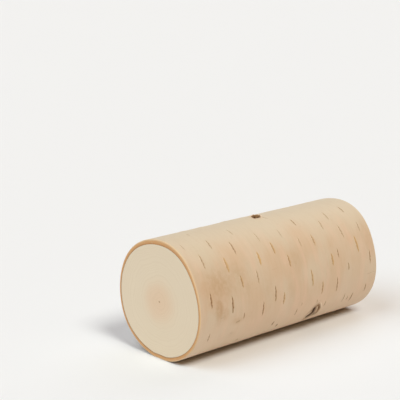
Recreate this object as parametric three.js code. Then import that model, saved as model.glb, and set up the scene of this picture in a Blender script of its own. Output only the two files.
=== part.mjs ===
// A short birch log with its bark on, sawn square at both ends and lying on its side.
// Units are millimetres. +X runs along the log, +Z is up, and -Y is the side that faces the viewer.
// The origin is on the ground, under the middle of the log.
import * as THREE from "three";

// Driving dimensions.
const LOG_LENGTH = 210;
const BUTT_RADIUS = 50; // mean radius at the -X end
const TIP_RADIUS = 49.8; // mean radius at the +X end
const EDGE_ROUND = 0.8; // how far the bark's sawn edge is worn back
const FLAT_WIDTH = 13.5; // the strip of the underside that is pressed flat where the log lies

// How finely the skin is divided.
const STEPS_AROUND = 72;
const STEPS_ALONG = 18;

// The trunk isn't quite round: each lobe is a wave around it. `crest` is in degrees from the top,
// positive down the -Y side, and the heights are at the -X end and the +X end.
const LOBES = [
  { waves: 2, butt: 0.25, tip: 0.25, crest: 165 },
  { waves: 3, butt: 0.55, tip: 0.6, crest: 12 },
  { waves: 4, butt: 0.3, tip: 0.6, crest: 35 },
  { waves: 5, butt: 0.2, tip: 0.25, crest: 27 },
];

// The bark swells a little over each old branch. `along` is from the middle of the log.
const KNOTS = [
  { along: 3, around: 1, swell: 1.1, spread: 9 },
  { along: 34, around: 127, swell: 0.9, spread: 10 },
  { along: -58, around: 236, swell: 1, spread: 10 },
];

const BARK_COLOUR = 0xcbb092;
const BARK_ROUGHNESS = 0.62;

const HALF_LENGTH = LOG_LENGTH / 2;
const MEAN_RADIUS = (BUTT_RADIUS + TIP_RADIUS) / 2;

// 0 at the -X end and 1 at the +X end.
const fractionAlong = (x) => (x + HALF_LENGTH) / LOG_LENGTH;

// The shortest way round from one angle to another, in radians.
const angleBetween = (a, b) => Math.atan2(Math.sin(a - b), Math.cos(a - b));

// How far the trunk stands out of a true round at one place.
function lobeHeight(x, around) {
  return LOBES.reduce((sum, { waves, butt, tip, crest }) => {
    const height = THREE.MathUtils.lerp(butt, tip, fractionAlong(x));
    const phase = around - THREE.MathUtils.degToRad(crest);
    return sum + height * Math.cos(waves * phase);
  }, 0);
}

// How far the bark rises over the knots at one place.
function knotHeight(x, around) {
  return KNOTS.reduce((sum, { along, around: place, swell, spread }) => {
    const arc = MEAN_RADIUS * angleBetween(around, THREE.MathUtils.degToRad(place));
    const distance = Math.hypot(x - along, arc) / spread;
    return sum + swell * Math.exp(-distance * distance);
  }, 0);
}

// The trunk's radius at one place, knots and all.
function trunkRadius(x, around) {
  const taper = THREE.MathUtils.lerp(BUTT_RADIUS, TIP_RADIUS, fractionAlong(x));
  return taper + lobeHeight(x, around) + knotHeight(x, around);
}

// The height of the trunk's axis that leaves both edges of its flat strip on the ground.
function axisHeight(x) {
  const halfStrip = Math.asin(FLAT_WIDTH / 2 / MEAN_RADIUS);
  const edges = [Math.PI - halfStrip, Math.PI + halfStrip];
  return Math.min(...edges.map((around) => -trunkRadius(x, around) * Math.cos(around)));
}

// A plain round billet of radius 1, with its axis along X and its sawn edges worn back.
function makeBillet() {
  const inset = EDGE_ROUND / MEAN_RADIUS;
  const profile = [new THREE.Vector2(0, -HALF_LENGTH), new THREE.Vector2(1 - inset, -HALF_LENGTH)];
  for (let step = 0; step <= STEPS_ALONG; step += 1) {
    const along = (HALF_LENGTH - EDGE_ROUND) * ((2 * step) / STEPS_ALONG - 1);
    profile.push(new THREE.Vector2(1, along));
  }
  profile.push(new THREE.Vector2(1 - inset, HALF_LENGTH), new THREE.Vector2(0, HALF_LENGTH));

  // Half a step of turn puts a facet, not an edge, at the very bottom.
  const halfStep = Math.PI / STEPS_AROUND;
  const billet = new THREE.LatheGeometry(profile, STEPS_AROUND, halfStep);
  return billet.rotateZ(-Math.PI / 2);
}

// Swells the billet to the trunk's own shape, and sets it down on the ground.
function growTrunk(billet) {
  const position = billet.getAttribute("position");
  for (let index = 0; index < position.count; index += 1) {
    const x = position.getX(index);
    const around = Math.atan2(-position.getY(index), position.getZ(index));
    const radius = Math.hypot(position.getY(index), position.getZ(index)) * trunkRadius(x, around);
    const y = -radius * Math.sin(around);
    const z = axisHeight(x) + radius * Math.cos(around);
    position.setXYZ(index, x, y, Math.max(z, 0));
  }
  billet.computeVertexNormals();
  return billet;
}

const log = new THREE.Mesh(
  growTrunk(makeBillet()),
  new THREE.MeshStandardMaterial({ color: BARK_COLOUR, roughness: BARK_ROUGHNESS, metalness: 0 }),
);
log.name = "log";

const part = new THREE.Group();
part.add(log);

export default part;
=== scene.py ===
"""A short birch log with its bark on, lying on its side: the fine visual model.

The log is one closed skin. Its bark is a sheet of triangles, wrapped round the trunk, that gets
finer at every pore, knot and scratch, so that each of them is real relief. Two sawn ends close it.

Places on the bark are given by `along`, in millimetres from the middle of the log towards +X, and
by `around`, in degrees from the top, positive down the -Y side that faces the viewer.
"""

import logging
import math
import random
from dataclasses import dataclass, field
from enum import Enum
from typing import Any

import bpy
import numpy as np
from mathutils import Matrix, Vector, geometry, noise


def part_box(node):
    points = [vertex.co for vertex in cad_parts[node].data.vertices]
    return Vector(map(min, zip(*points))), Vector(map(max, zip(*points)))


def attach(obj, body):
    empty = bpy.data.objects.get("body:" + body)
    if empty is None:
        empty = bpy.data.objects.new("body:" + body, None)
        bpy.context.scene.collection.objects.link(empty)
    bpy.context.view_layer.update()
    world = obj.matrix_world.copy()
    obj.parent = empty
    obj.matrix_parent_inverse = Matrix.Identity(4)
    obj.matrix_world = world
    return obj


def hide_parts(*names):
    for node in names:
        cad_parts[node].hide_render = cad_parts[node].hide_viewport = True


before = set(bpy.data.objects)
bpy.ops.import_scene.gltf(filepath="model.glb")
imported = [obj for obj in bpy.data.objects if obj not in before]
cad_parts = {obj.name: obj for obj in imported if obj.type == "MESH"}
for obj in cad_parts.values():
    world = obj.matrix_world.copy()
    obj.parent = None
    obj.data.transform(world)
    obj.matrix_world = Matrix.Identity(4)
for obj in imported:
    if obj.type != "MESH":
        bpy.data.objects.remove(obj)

REPORT = logging.getLogger("birch_log")
METRES = 0.001  # one millimetre
NEAR = 1e-4  # millimetres within which two places are the same
PITH_SIDE, PITH_HEIGHT = -0.6, 48.2  # the pith's place in Y and above the ground, in millimetres

Array = np.ndarray


def linear(srgb_hex: str) -> tuple[float, float, float, float]:
    """Turns an sRGB colour into the linear one that a shader takes.

    Args:
        srgb_hex: The colour as "#rrggbb".

    Returns:
        Linear red, green, blue and a full alpha.
    """
    channels = [int(srgb_hex[start : start + 2], 16) / 255 for start in (1, 3, 5)]
    red, green, blue = [
        value / 12.92 if value <= 0.04045 else ((value + 0.055) / 1.055) ** 2.4 for value in channels
    ]
    return red, green, blue, 1.0


def per_metre(size_mm: float) -> float:
    """Gives the texture scale that makes a pattern's features about this many millimetres."""
    return 1 / (size_mm * METRES)


def smooth(low: float, high: float, value: Array) -> Array:
    """Rises smoothly from 0 at `low` to 1 at `high`."""
    step = np.clip((value - low) / (high - low), 0, 1)
    return step * step * (3 - 2 * step)


def bell(value: Array, width: float) -> Array:
    """A bell curve, 1 at 0 and about a third at `width`."""
    return np.exp(-((value / width) ** 2))


def angle_between(first: Array, second: float) -> Array:
    """The shortest way round from one angle to another, in radians."""
    return (first - second + np.pi) % (2 * np.pi) - np.pi


# ---------------------------------------------------------------------------------------------
# The trunk
# ---------------------------------------------------------------------------------------------


@dataclass(frozen=True)
class Lobe:
    """One wave around the trunk that takes it out of a true round, in millimetres and degrees."""

    waves: int
    butt: float
    tip: float
    crest: float


@dataclass(frozen=True)
class Swell:
    """A low rise of the bark over an old branch, in millimetres and degrees."""

    along: float
    around: float
    height: float
    spread: float


@dataclass(frozen=True)
class Trunk:
    """The trunk's own shape, the same as the solid model's, in millimetres and radians."""

    length: float
    butt_radius: float = 50.0
    tip_radius: float = 49.8
    flat_width: float = 13.5
    edge_round: float = 0.8
    lobes: tuple[Lobe, ...] = (
        Lobe(2, 0.25, 0.25, 165),
        Lobe(3, 0.55, 0.6, 12),
        Lobe(4, 0.3, 0.6, 35),
        Lobe(5, 0.2, 0.25, 27),
    )
    swells: tuple[Swell, ...] = (
        Swell(3, 1, 1.1, 9),
        Swell(34, 127, 0.9, 10),
        Swell(-58, 236, 1.0, 10),
    )

    @property
    def half(self) -> float:
        """Half the length."""
        return self.length / 2

    @property
    def mean_radius(self) -> float:
        """The radius halfway along."""
        return (self.butt_radius + self.tip_radius) / 2

    @property
    def half_girth(self) -> float:
        """The way round the bark from the top to the bottom."""
        return math.pi * self.mean_radius

    def radius(self, along: Array, around: Array) -> Array:
        """The trunk's radius at each place, swellings and all.

        Args:
            along: Millimetres from the middle.
            around: Radians from the top.

        Returns:
            The radius in millimetres.
        """
        fraction = (along + self.half) / self.length
        radius = self.butt_radius + (self.tip_radius - self.butt_radius) * fraction
        for lobe in self.lobes:
            height = lobe.butt + (lobe.tip - lobe.butt) * fraction
            radius = radius + height * np.cos(lobe.waves * (around - math.radians(lobe.crest)))
        for swell in self.swells:
            arc = self.mean_radius * angle_between(around, math.radians(swell.around))
            radius = radius + swell.height * bell(np.hypot(along - swell.along, arc), swell.spread)
        return radius

    def axis_height(self, along: Array) -> Array:
        """The height of the trunk's axis that leaves both edges of its flat strip on the ground.

        Args:
            along: Millimetres from the middle.

        Returns:
            The height in millimetres.
        """
        half_strip = math.asin(self.flat_width / 2 / self.mean_radius)
        edges = (math.pi - half_strip, math.pi + half_strip)
        heights = [-self.radius(along, np.full_like(along, edge)) * math.cos(edge) for edge in edges]
        return np.minimum(*heights)

    def places(self, along: Array, around: Array, radius: Array) -> Array:
        """Turns places round the trunk into points in space, none of them below the ground.

        Args:
            along: Millimetres from the middle.
            around: Radians from the top.
            radius: Millimetres from the trunk's axis.

        Returns:
            An array of points in millimetres.
        """
        lift = self.axis_height(along) + radius * np.cos(around)
        return np.stack([along, -radius * np.sin(around), np.maximum(lift, 0)], axis=1)


# ---------------------------------------------------------------------------------------------
# What the bark bears
# ---------------------------------------------------------------------------------------------


class Tint(Enum):
    """What a mark does to the bark's colour. The value is the mesh attribute that carries it."""

    CORK = "cork"  # corky brown tissue in a pore
    AMBER = "amber"  # a thin, papery edge that glows
    PALE = "pale"  # painted highlight on raised lips and ridges, and painted floor light underneath
    HOLLOW = "hollow"  # the dark inside of a knot or crack
    WEATHER = "weather"  # a grey-brown, weathered patch
    BLUSH = "blush"  # a warmer patch
    BLEACH = "bleach"  # painted highlight: the top painted paler and creamier


class Sheet:
    """The bark as a flat sheet, before it is wrapped round the trunk.

    It holds each vertex's place on the sheet, how far it stands out, and its tints.
    """

    def __init__(self, trunk: Trunk, arc: Array, along: Array) -> None:
        """Starts a smooth sheet.

        Args:
            trunk: The trunk it wraps.
            arc: Millimetres round the bark from the top, one for each vertex.
            along: Millimetres along the log, one for each vertex.
        """
        self.trunk = trunk
        self.arc = arc
        self.along = along
        self.relief = np.zeros_like(arc)
        self.tints = {tint: np.zeros_like(arc) for tint in Tint}

    def offsets(self, along: float, around: float) -> tuple[Array, Array]:
        """How far each vertex lies from a place.

        Args:
            along: The place, in millimetres from the middle.
            around: The place, in degrees from the top.

        Returns:
            The distances round the bark and along it, in millimetres.
        """
        girth = 2 * self.trunk.half_girth
        away = self.arc - self.trunk.mean_radius * math.radians(around)
        return (away + girth / 2) % girth - girth / 2, self.along - along

    def tint(self, kind: Tint, amount: Array) -> None:
        """Adds a tint, which is never more than full, where it is stronger than what is there."""
        self.tints[kind] = np.maximum(self.tints[kind], np.clip(amount, 0, 1))


@dataclass(frozen=True)
class Lenticel:
    """A breathing pore: a narrow, corky slit between raised lips that runs round the trunk.

    `top` and `bottom` are the degrees where it starts and ends, and `width` is the slit's, in
    millimetres. `lean` is how far its lower end lies along the log from its upper end.
    """

    along: float
    top: float
    bottom: float
    strength: float = 0.7
    amber: float = 0.0
    width: float = 1.2
    lean: float = 0.0

    # Rows of vertices across the pore, in half widths, and how far apart they are along it.
    ROWS = (-3.0, -1.9, -1.25, -0.8, -0.35, 0.0, 0.35, 0.8, 1.25, 1.9, 3.0)
    STEP = 1.1
    OVERRUN = 1.08  # how far its vertices run past its ends, in half lengths
    CLEARING = 3.6  # how far plain vertices keep away, in half widths
    TAPERED = 1.12  # how much longer it is than the part that is easily seen
    LIP_HEIGHT = 0.26
    SLIT_DEPTH = 0.3

    @property
    def around(self) -> float:
        """The middle of the pore, in degrees."""
        return (self.top + self.bottom) / 2

    def half_length(self, trunk: Trunk) -> float:
        """Half the pore's length, in millimetres."""
        return self.TAPERED * trunk.mean_radius * math.radians(abs(self.bottom - self.top)) / 2

    def seeds(self, trunk: Trunk) -> Array:
        """The vertices that the pore's shape needs.

        Args:
            trunk: The trunk it is on.

        Returns:
            Their places round and along the bark from the pore's middle, in millimetres.
        """
        half = self.half_length(trunk)
        steps = max(5, round(2 * half / self.STEP))
        down = np.linspace(-self.OVERRUN, self.OVERRUN, steps + 1)
        taper = np.sqrt(np.clip(1 - down**2, 0.12, 1))
        rows = np.array(self.ROWS) * self.width / 2
        across = taper[:, None] * rows[None, :] + (self.lean * down / 2)[:, None]
        round_way = np.repeat((down * half)[:, None], len(rows), axis=1)
        return np.stack([round_way.ravel(), across.ravel()], axis=1)

    def covers(self, trunk: Trunk, round_way: Array, across: Array) -> Array:
        """Which places lie on the pore's own ground.

        Args:
            trunk: The trunk it is on.
            round_way: How far each place is from the pore's middle, round the bark.
            across: The same along the log.

        Returns:
            True for each place that does.
        """
        half = self.half_length(trunk)
        down = round_way / (half * self.OVERRUN + 0.9)
        middle = self.lean * round_way / half / 2
        return (np.abs(across - middle) < self.CLEARING * self.width / 2) & (np.abs(down) < 1)

    def press(self, sheet: Sheet) -> None:
        """Presses the pore into the bark, in half lengths down it and half widths aside from it.

        Args:
            sheet: The bark.
        """
        round_way, across = sheet.offsets(self.along, self.around)
        down = round_way / self.half_length(sheet.trunk)
        taper = np.clip(1 - down**2, 0, 1) ** 0.6
        ragged = 0.12 * np.sin(9.0 * down + self.along) + 0.08 * np.sin(23.0 * down - self.top)
        middle = self.lean * down / 2 + ragged * self.width
        aside = (across - middle) / (self.width / 2 * np.clip(taper, 0.25, 1))
        lips = bell(np.abs(aside) - 1.6, 0.8) * taper
        slit = bell(aside, 0.8) * taper
        depth = 0.4 + 0.6 * self.strength
        sheet.relief += depth * (self.LIP_HEIGHT * lips - self.SLIT_DEPTH * slit)

        within = smooth(1.05, 0.8, np.abs(down))
        broken = 0.8 + 0.2 * np.sin(14.0 * down + 3 * self.along)
        dark = min(1.0, 0.22 + 0.86 * self.strength) * (1 - 0.4 * self.amber) * broken
        sheet.tint(Tint.CORK, dark * smooth(2.0, 0.5, np.abs(aside + 0.1)) * within)
        # Painted highlight: both lips are painted paler towards the pore's upper end, where the light
        # from above catches them.
        upper = smooth(0.6, -0.9, down)
        sheet.tint(Tint.PALE, 0.85 * bell(aside + 1.9, 0.75) * upper * taper)
        sheet.tint(Tint.PALE, 0.8 * bell(aside - 1.7, 0.8) * smooth(-0.35, -0.9, down) * taper)
        body = smooth(2.9, 1.1, np.abs(aside - 0.55)) * within
        sheet.tint(Tint.AMBER, (0.28 * self.strength + 0.62 * self.amber) * body)


class Growth(Enum):
    """How far the bark has closed over an old branch."""

    OPEN = "open"  # a torn brown hole with a collar
    CLOSED = "closed"  # an eye of two dark slits round a lump


@dataclass(frozen=True)
class Slit:
    """A crack in a closed knot, in the knot's own sizes: its ends, place, bow and half width."""

    start: float
    end: float
    aside: float
    bow: float
    width: float
    darkness: float


@dataclass(frozen=True)
class Knot:
    """The scar of an old branch. `long` and `wide` are its half sizes, in millimetres.

    `turn` is how far its long axis is turned from the way round the trunk, in degrees.
    """

    along: float
    around: float
    long: float
    wide: float
    growth: Growth
    turn: float = 0.0
    depth: float = 1.6

    # Heights and depths of its parts, in millimetres.
    COLLAR_HEIGHT = 0.85
    LUMP_HEIGHT = 0.75
    LID_HEIGHT = 0.5
    CREASE_DEPTH = 0.6
    WRINKLE_DEPTH = 0.35
    RIPPLE_HEIGHT = 0.13

    # In the knot's own sizes, where 1 is its rim: how far its ripples spread, its slits and wrinkles.
    REACH = 2.1
    RINGS = 36
    SPOKES = 84
    SLITS = (
        Slit(-0.95, 1.5, -0.4, 0.02, 0.31, 1.0),
        Slit(-1.05, 1.5, 0.5, -0.06, 0.24, 0.95),
        Slit(-0.6, 0.8, 0.08, -0.04, 0.09, 0.45),
    )
    WRINKLES = (1.3, 1.6, 1.9)

    def polar(self, round_way: Array, across: Array) -> tuple[Array, Array]:
        """Turns places near the knot into its own terms.

        Args:
            round_way: How far each place is from the knot's middle, round the bark.
            across: The same along the log.

        Returns:
            How far out each is, 1 at the rim, and its direction in radians from the long axis.
        """
        turn = math.radians(self.turn)
        first = (round_way * math.cos(turn) + across * math.sin(turn)) / self.long
        second = (across * math.cos(turn) - round_way * math.sin(turn)) / self.wide
        return np.hypot(first, second), np.arctan2(second, first)

    def seeds(self, trunk: Trunk) -> Array:
        """The vertices that the knot's shape needs, in staggered rings.

        Args:
            trunk: The trunk it is on; not used.

        Returns:
            Their places round and along the bark from the knot's middle, in millimetres.
        """
        turn = math.radians(self.turn)
        points = [(0.0, 0.0)]
        for ring in range(1, self.RINGS + 1):
            out = self.REACH * ring / self.RINGS
            spokes = max(8, round(self.SPOKES * min(1.0, out + 0.1)))
            for spoke in range(spokes):
                angle = 2 * math.pi * (spoke + 0.5 * (ring % 2)) / spokes
                first = out * math.cos(angle) * self.long
                second = out * math.sin(angle) * self.wide
                points.append(
                    (
                        first * math.cos(turn) - second * math.sin(turn),
                        first * math.sin(turn) + second * math.cos(turn),
                    )
                )
        return np.array(points)

    def covers(self, trunk: Trunk, round_way: Array, across: Array) -> Array:
        """Which places lie on the knot's own ground."""
        return self.polar(round_way, across)[0] < self.REACH + 0.12

    def press(self, sheet: Sheet) -> None:
        """Presses the knot into the bark, with a few ripples round it.

        Args:
            sheet: The bark.
        """
        out, angle = self.polar(*sheet.offsets(self.along, self.around))
        near = out < self.REACH + 0.2
        wobble = 0.05 * np.sin(3 * angle + 1.1) + 0.035 * np.sin(7 * angle + self.along)
        if self.growth is Growth.OPEN:
            wobble += 0.13 * np.sin(2 * angle - 0.5) + 0.07 * np.sin(5 * angle)
        out = np.where(near, out + wobble * np.clip(out, 0, 1), out)
        if self.growth is Growth.OPEN:
            self.press_open(sheet, out, angle)
        else:
            self.press_closed(sheet, out, angle)
        fade = smooth(self.REACH, 1.2, out)
        ripple = np.cos(15.5 * out + 0.8 * np.sin(2 * angle)) * smooth(1.05, 1.3, out) * fade
        sheet.relief += self.RIPPLE_HEIGHT * ripple
        sheet.tint(Tint.CORK, 0.34 * smooth(0.1, 0.95, -ripple) * (0.6 + 0.4 * np.sin(angle * 3)))
        sheet.tint(Tint.BLUSH, 0.4 * bell(out - 1.1, 0.5) * near)

    def press_open(self, sheet: Sheet, out: Array, angle: Array) -> None:
        """A brown, torn hole inside a collar that is rolled highest on its upper side.

        Args:
            sheet: The bark.
            out: How far out each vertex is, 1 at the rim.
            angle: Its direction in radians from the long axis.
        """
        folds = 1 + 0.22 * np.cos(9 * angle + 0.6) + 0.12 * np.cos(17 * angle)
        upper = smooth(0.7, -0.7, out * np.cos(angle))
        collar = bell(out - 1.16, 0.26) * folds * (0.25 + 0.75 * upper)
        hole = smooth(1.02, 0.45, out)
        core = bell(out, 0.34) * 0.45 * self.depth
        sheet.relief += self.COLLAR_HEIGHT * collar - self.depth * hole + core
        torn = 0.62 + 0.38 * np.sin(5 * angle + 3 * out + self.around)
        sheet.tint(Tint.CORK, smooth(1.12, 0.9, out))
        sheet.tint(Tint.HOLLOW, smooth(1.0, 0.6, out) * torn)
        # Painted highlight: the collar painted paler, most on its upper side.
        sheet.tint(Tint.PALE, 0.95 * bell(out - 1.28, 0.17) * (0.2 + 0.8 * upper))

    def press_closed(self, sheet: Sheet, out: Array, angle: Array) -> None:
        """An eye: dark slits side by side in a wrinkled lump, under a rolled lid.

        Args:
            sheet: The bark.
            out: How far out each vertex is, 1 at the rim.
            angle: Its direction in radians from the long axis.
        """
        down = out * np.cos(angle)
        aside = out * np.sin(angle)
        lump = smooth(1.05, 0.2, out)
        lid = bell(out - 1.3, 0.12) * smooth(0.9, -0.5, down) * smooth(-0.6, 0.3, aside)
        crease = bell(out - 1.0, 0.17) * smooth(0.6, -0.3, down - 0.3 * aside)
        sheet.relief += self.LUMP_HEIGHT * lump + self.LID_HEIGHT * lid - self.CREASE_DEPTH * crease
        sheet.tint(Tint.CORK, 0.4 * smooth(1.05, 0.8, out))
        sheet.tint(Tint.CORK, 0.95 * crease)
        for slit in self.SLITS:
            path = slit.aside + slit.bow * down**2 + 0.045 * np.sin(6 * down + 9 * slit.aside)
            middle, half = (slit.start + slit.end) / 2, (slit.end - slit.start) / 2
            taper = np.clip(1 - ((down - middle) / half) ** 2, 0, 1)
            width = slit.width * (0.3 + 0.7 * np.sqrt(taper))
            line = bell(aside - path, width) * smooth(0.0, 0.4, taper) * smooth(1.55, 1.3, out)
            sheet.relief -= self.depth * slit.darkness * line
            sheet.tint(Tint.HOLLOW if slit.darkness > 0.5 else Tint.CORK, 1.2 * slit.darkness * line)
        # Painted highlight: the rolled lid painted paler.
        sheet.tint(Tint.PALE, 0.9 * lid)
        sector = smooth(0.2, 0.9, -np.sin(angle + 0.5)) * smooth(2.0, 1.2, out)
        for wrinkle in self.WRINKLES:
            fold = bell(out - wrinkle, 0.09) * sector
            sheet.relief -= self.WRINKLE_DEPTH * fold
            sheet.tint(Tint.CORK, 0.7 * fold)
            # Painted highlight: the ridge beside each fold painted paler.
            sheet.tint(Tint.PALE, 0.9 * bell(out - wrinkle - 0.15, 0.09) * sector)


@dataclass(frozen=True)
class Scratch:
    """A hairline in the bark that runs along the log, in millimetres and degrees."""

    start: float
    end: float
    around: float
    strength: float = 0.4
    width: float = 0.5

    # Rows of vertices across the scratch, in half widths, and how far apart they are along it.
    ROWS = (-2.2, -1.0, 0.0, 1.0, 2.2)
    STEP = 1.2
    DEPTH = 0.12

    @property
    def along(self) -> float:
        """The middle of the scratch."""
        return (self.start + self.end) / 2

    @property
    def half_length(self) -> float:
        """Half the scratch's length."""
        return (self.end - self.start) / 2

    def seeds(self, trunk: Trunk) -> Array:
        """The vertices that the scratch's shape needs.

        Args:
            trunk: The trunk it is on; not used.

        Returns:
            Their places round and along the bark from the scratch's middle, in millimetres.
        """
        steps = max(4, round(2 * self.half_length / self.STEP))
        across = np.linspace(-self.half_length, self.half_length, steps + 1)
        rows = np.array(self.ROWS) * self.width / 2
        grid_across, grid_round = np.meshgrid(across, rows)
        return np.stack([grid_round.ravel(), grid_across.ravel()], axis=1)

    def covers(self, trunk: Trunk, round_way: Array, across: Array) -> Array:
        """Which places lie on the scratch's own ground."""
        inside = np.abs(across) < self.half_length + 0.8
        return inside & (np.abs(round_way) < 2.8 * self.width / 2)

    def press(self, sheet: Sheet) -> None:
        """Presses the scratch into the bark.

        Args:
            sheet: The bark.
        """
        round_way, across = sheet.offsets(self.along, self.around)
        fraction = across / self.half_length
        wander = 0.3 * np.sin(3.1 * fraction + self.start)
        line = bell(round_way - wander, self.width / 2) * smooth(1.0, 0.6, np.abs(fraction))
        sheet.relief -= self.DEPTH * line
        sheet.tint(Tint.CORK, self.strength * line)


@dataclass(frozen=True)
class Patch:
    """A soft-edged patch of tint: a stain, or painted light where its tint is painted light. `long` is
    its half size round the trunk and `wide` along it, in mm.
    """

    along: float
    around: float
    long: float
    wide: float
    tint: Tint
    strength: float

    def press(self, sheet: Sheet) -> None:
        """Tints the bark: a stain, or painted light.

        Args:
            sheet: The bark.
        """
        round_way, across = sheet.offsets(self.along, self.around)
        amount = bell(np.hypot(round_way / self.long, across / self.wide), 1.0)
        sheet.tint(self.tint, self.strength * amount)


Mark = Lenticel | Knot | Scratch

KNOTS = (
    Knot(2.2, 1.5, long=4.8, wide=4.1, growth=Growth.OPEN, turn=-35, depth=2.0),
    Knot(32.6, 128.2, long=8.6, wide=5.5, growth=Growth.CLOSED, turn=-16, depth=2.0),
    Knot(-58, 236, long=6.5, wide=5.0, growth=Growth.OPEN, depth=1.8),
)

# The pores that a viewer at the -Y side sees: along, top, bottom, strength, amber, width.
LENTICELS = (
    Lenticel(-97, 18, 27, 0.35, width=0.9),
    Lenticel(-77, 1, 7, 0.45),
    Lenticel(-72, 21, 33, 0.5, lean=-1.5),
    Lenticel(-89, 35, 50, 0.55, 0.1, lean=-1.0),
    Lenticel(-52.5, 30, 44, 0.7, lean=-1.0),
    Lenticel(-67.5, 44, 59, 0.5, 0.75, width=1.3),
    Lenticel(-41.5, 13, 22, 0.4, width=0.9),
    Lenticel(-22, 26, 38, 0.35, 0.1, width=0.9),
    Lenticel(-32, 47, 60, 0.55, 1.0, width=1.2, lean=-0.8),
    Lenticel(-13, 41, 53, 0.7, 0.6, width=1.3),
    Lenticel(3, 29, 39, 0.35, width=0.9),
    Lenticel(6.6, 5.5, 11, 0.45, width=1.2, lean=4.5),
    Lenticel(-0.5, 57, 69, 0.7, 0.4),
    Lenticel(26, 21, 30, 0.65),
    Lenticel(34, 44, 55, 0.6, 0.4),
    Lenticel(18.5, 43, 53, 0.35, 0.1),
    Lenticel(52, 31, 42, 0.45, 0.1, lean=-1.2),
    Lenticel(65, 22, 33, 0.45),
    Lenticel(87.5, 19, 29, 0.6),
    Lenticel(70, 41, 55, 0.5, lean=1.0),
    Lenticel(92.5, 43, 53, 0.4, lean=-0.8),
    Lenticel(83, 56, 73, 0.6, 0.8, width=1.2, lean=1.2),
    Lenticel(58, 64, 73, 0.55),
    Lenticel(49.5, 67, 79, 0.65, 0.7, width=1.2),
    Lenticel(68.5, 81, 88, 0.75, 0.1),
    Lenticel(97, 74, 88, 0.7, width=1.2, lean=-0.6),
    Lenticel(22.5, 77, 94, 0.6, 0.55, width=1.3, lean=1.0),
    Lenticel(35, 92, 105, 0.65, 0.3, width=1.2, lean=-0.5),
    Lenticel(53.5, 92, 107, 0.65),
    Lenticel(-57, 64, 76, 0.65, 0.45, width=1.2, lean=0.8),
    Lenticel(-39, 63, 76, 0.5, 0.1),
    Lenticel(-92.3, 73, 87, 0.85, width=1.3),
    Lenticel(-70, 81, 97, 0.95, width=1.3),
    Lenticel(-21.5, 83, 98, 0.85, width=1.2, lean=-0.5),
    Lenticel(-12, 92, 103, 0.7, 0.45, width=1.3, lean=-0.8),
    Lenticel(-35.5, 95, 109, 0.85, width=1.1),
    Lenticel(-57, 100, 106, 0.45),
    Lenticel(-92.5, 112, 121, 0.55, width=1.2),
    Lenticel(7.5, 114, 122, 0.55),
    Lenticel(11.5, 108, 112, 0.3),
    Lenticel(31, 110, 113.5, 0.35),
    Lenticel(43, 115, 122, 0.5),
    Lenticel(67.5, 114, 124, 0.6, width=0.9),
    Lenticel(73, 118, 124, 0.45, width=0.9),
    Lenticel(78.5, 116, 127, 0.75),
    Lenticel(93.5, 109, 118, 0.6, lean=1.0),
    Lenticel(-17, 122, 128, 0.65, width=1.4),
    Lenticel(-9, 129, 134, 0.75, width=1.4),
    Lenticel(-52, 134, 139, 0.6, width=1.4),
)

SCRATCHES = (
    Scratch(91, 103.5, 98, 0.45),
    Scratch(-23, -14, 67, 0.22),
    Scratch(-66, -60, 107.5, 0.55, width=1.4),
    Scratch(-69, -65, 119.5, 0.3, width=1.2),
    Scratch(-84, -79, 99, 0.3, width=1.2),
    Scratch(-47, -40, 80, 0.2),
    Scratch(-31, -24, -62, 0.3),
    Scratch(52, 63, -95, 0.35),
)

# Broad patches. The weathered brown stains and the warmer ones are the bark's own colour. The rest are
# painted light: the top is painted paler and creamier as a painted highlight, and the underside is
# painted paler and warmer as painted light from the floor.
PATCHES = (
    # Painted highlight: the top, and the top by the near end, painted paler and creamier.
    Patch(0, 2, 34, 1000, Tint.BLEACH, 1.0),
    Patch(-85, 22, 24, 22, Tint.BLEACH, 1.0),
    # Painted light from the floor: the underside painted warmer and paler.
    Patch(0, 150, 40, 1000, Tint.BLUSH, 0.9),
    Patch(0, 138, 30, 1000, Tint.PALE, 0.6),
    Patch(-80, 68, 18, 22, Tint.WEATHER, 0.7),
    Patch(-84, 90, 12, 5, Tint.WEATHER, 1.0),
    Patch(-78, 96, 7, 5, Tint.WEATHER, 0.7),
    Patch(-60, 62, 13, 15, Tint.WEATHER, 0.55),
    Patch(8, 62, 15, 7, Tint.WEATHER, 0.5),
    Patch(-30, 84, 14, 10, Tint.WEATHER, 0.35),
    Patch(-52, 74, 16, 5, Tint.WEATHER, 0.4),
    Patch(-3, 95, 18, 6, Tint.WEATHER, 0.35),
    Patch(-63, 107, 4, 7, Tint.WEATHER, 0.6),
    Patch(-67, 121, 4, 5, Tint.WEATHER, 0.5),
    Patch(44, 80, 12, 7, Tint.WEATHER, 0.3),
    Patch(98, 62, 26, 5, Tint.WEATHER, 0.3),
    Patch(-84, 74, 20, 20, Tint.BLUSH, 0.45),
    Patch(22, 38, 18, 16, Tint.BLUSH, 0.4),
    Patch(70, 55, 28, 20, Tint.BLUSH, 0.4),
    Patch(-60, 42, 16, 18, Tint.BLUSH, 0.35),
    Patch(-30, 60, 18, 14, Tint.BLUSH, 0.3),
    Patch(5, 112, 14, 20, Tint.BLUSH, 0.35),
    Patch(-100, 95, 40, 4, Tint.BLUSH, 0.5),
    Patch(-20, 290, 28, 22, Tint.BLUSH, 0.35),
    Patch(60, 255, 24, 26, Tint.WEATHER, 0.45),
    Patch(-75, 275, 20, 12, Tint.WEATHER, 0.5),
    Patch(20, 225, 16, 18, Tint.BLUSH, 0.35),
)


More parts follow.
